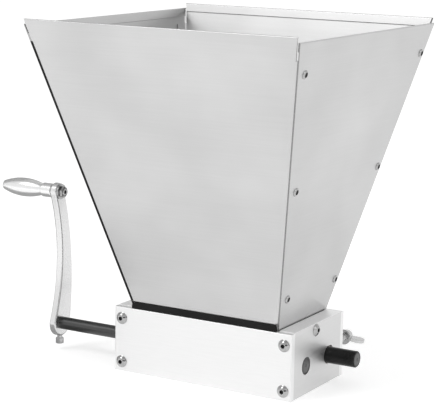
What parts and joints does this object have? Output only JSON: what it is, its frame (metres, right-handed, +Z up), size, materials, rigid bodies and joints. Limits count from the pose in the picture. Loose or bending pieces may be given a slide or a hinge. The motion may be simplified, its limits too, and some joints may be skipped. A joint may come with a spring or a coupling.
{
  "type": "grain mill",
  "caption": "Two-roller hand-cranked grain mill with a square sheet steel hopper on an aluminium housing and an adjustable roller gap.",
  "frame": {"origin": "centre of the housing's underside, on the plane that the mill stands on", "axes": "+X along the rollers towards the drive stub, with the crank at -X; +Y from the front plate to the rear plate; +Z up to the hopper's mouth"},
  "size_m": [0.3111, 0.227, 0.274],
  "materials": {
    "plate_aluminium": "satin, fine bead-blasted",
    "sheet_steel": "brushed",
    "screw_steel": "polished",
    "black_steel": "black oxide, satin",
    "roller_steel": "knurled steel",
    "bush_bronze": "sintered bronze",
    "cast_aluminium": "polished casting",
    "seal_rubber": "matte black rubber",
    "spacer_nylon": "black nylon"
  },
  "bodies": {
    "housing": {"end_plate_left": "plate_aluminium", "end_plate_right": "plate_aluminium", "front_plate": "plate_aluminium", "rear_plate": "plate_aluminium", "front_plate_screws": "screw_steel", "rear_plate_screws": "screw_steel", "front_bush_left": "bush_bronze", "front_bush_right": "bush_bronze", "hopper_front_panel": "sheet_steel", "hopper_rear_panel": "sheet_steel", "hopper_left_panel": "sheet_steel", "hopper_right_panel": "sheet_steel", "hopper_rivets_left": "sheet_steel", "hopper_rivets_right": "sheet_steel", "hopper_screw_left": "screw_steel", "hopper_screw_right": "screw_steel", "hopper_nut_left": "screw_steel", "hopper_nut_right": "screw_steel", "hopper_seal_front": "seal_rubber", "hopper_seal_rear": "seal_rubber"},
    "front_roller": {"front_roller_drum": "roller_steel", "front_roller_shaft": "black_steel", "crank_arm": "cast_aluminium", "crank_clamp_screw": "screw_steel", "grip_spindle": "screw_steel", "grip_nut": "screw_steel", "grip_washer": "screw_steel", "grip_spacer": "spacer_nylon", "grip_retaining_ring": "screw_steel"},
    "grip": {"crank_grip": "cast_aluminium"},
    "gap_carriage": {"bearing_block_left": "roller_steel", "bearing_block_right": "roller_steel", "rear_bush_left": "bush_bronze", "rear_bush_right": "bush_bronze", "screw_pin_left": "screw_steel", "screw_pin_right": "screw_steel"},
    "rear_roller": {"rear_roller_drum": "roller_steel", "rear_roller_shaft": "black_steel"},
    "left_wing_screw": {"wing_screw_left": "screw_steel"},
    "right_wing_screw": {"wing_screw_right": "screw_steel"}
  },
  "joints": [
    {"name": "crank_spin", "type": "hinge", "parent": "housing", "child": "front_roller", "pos_m": [0, -0.0189, 0.0222], "axis": [1, 0, 0], "continuous": true},
    {"name": "grip_spin", "type": "hinge", "parent": "front_roller", "child": "grip", "pos_m": [-0.175, -0.0219, 0.1302], "axis": [1, 0, 0], "continuous": true},
    {"name": "gap_slide", "type": "slide", "parent": "housing", "child": "gap_carriage", "axis": [0, 1, 0], "range_m": [0, 0.002]},
    {"name": "rear_roller_spin", "type": "hinge", "parent": "gap_carriage", "child": "rear_roller", "pos_m": [0, 0.0177, 0.0222], "axis": [1, 0, 0], "continuous": true},
    {"name": "left_wing_turn", "type": "hinge", "parent": "gap_carriage", "child": "left_wing_screw", "pos_m": [-0.0692, 0.058, 0.025], "axis": [0, 1, 0], "range_deg": [0, 720]},
    {"name": "right_wing_turn", "type": "hinge", "parent": "gap_carriage", "child": "right_wing_screw", "pos_m": [0.0692, 0.058, 0.025], "axis": [0, 1, 0], "range_deg": [0, 720]}
  ],
  "couplings": [
    {"joint": "left_wing_turn", "follows": "gap_slide", "rad_per_m": 6283.1},
    {"joint": "right_wing_turn", "follows": "gap_slide", "rad_per_m": 6283.1}
  ]
}
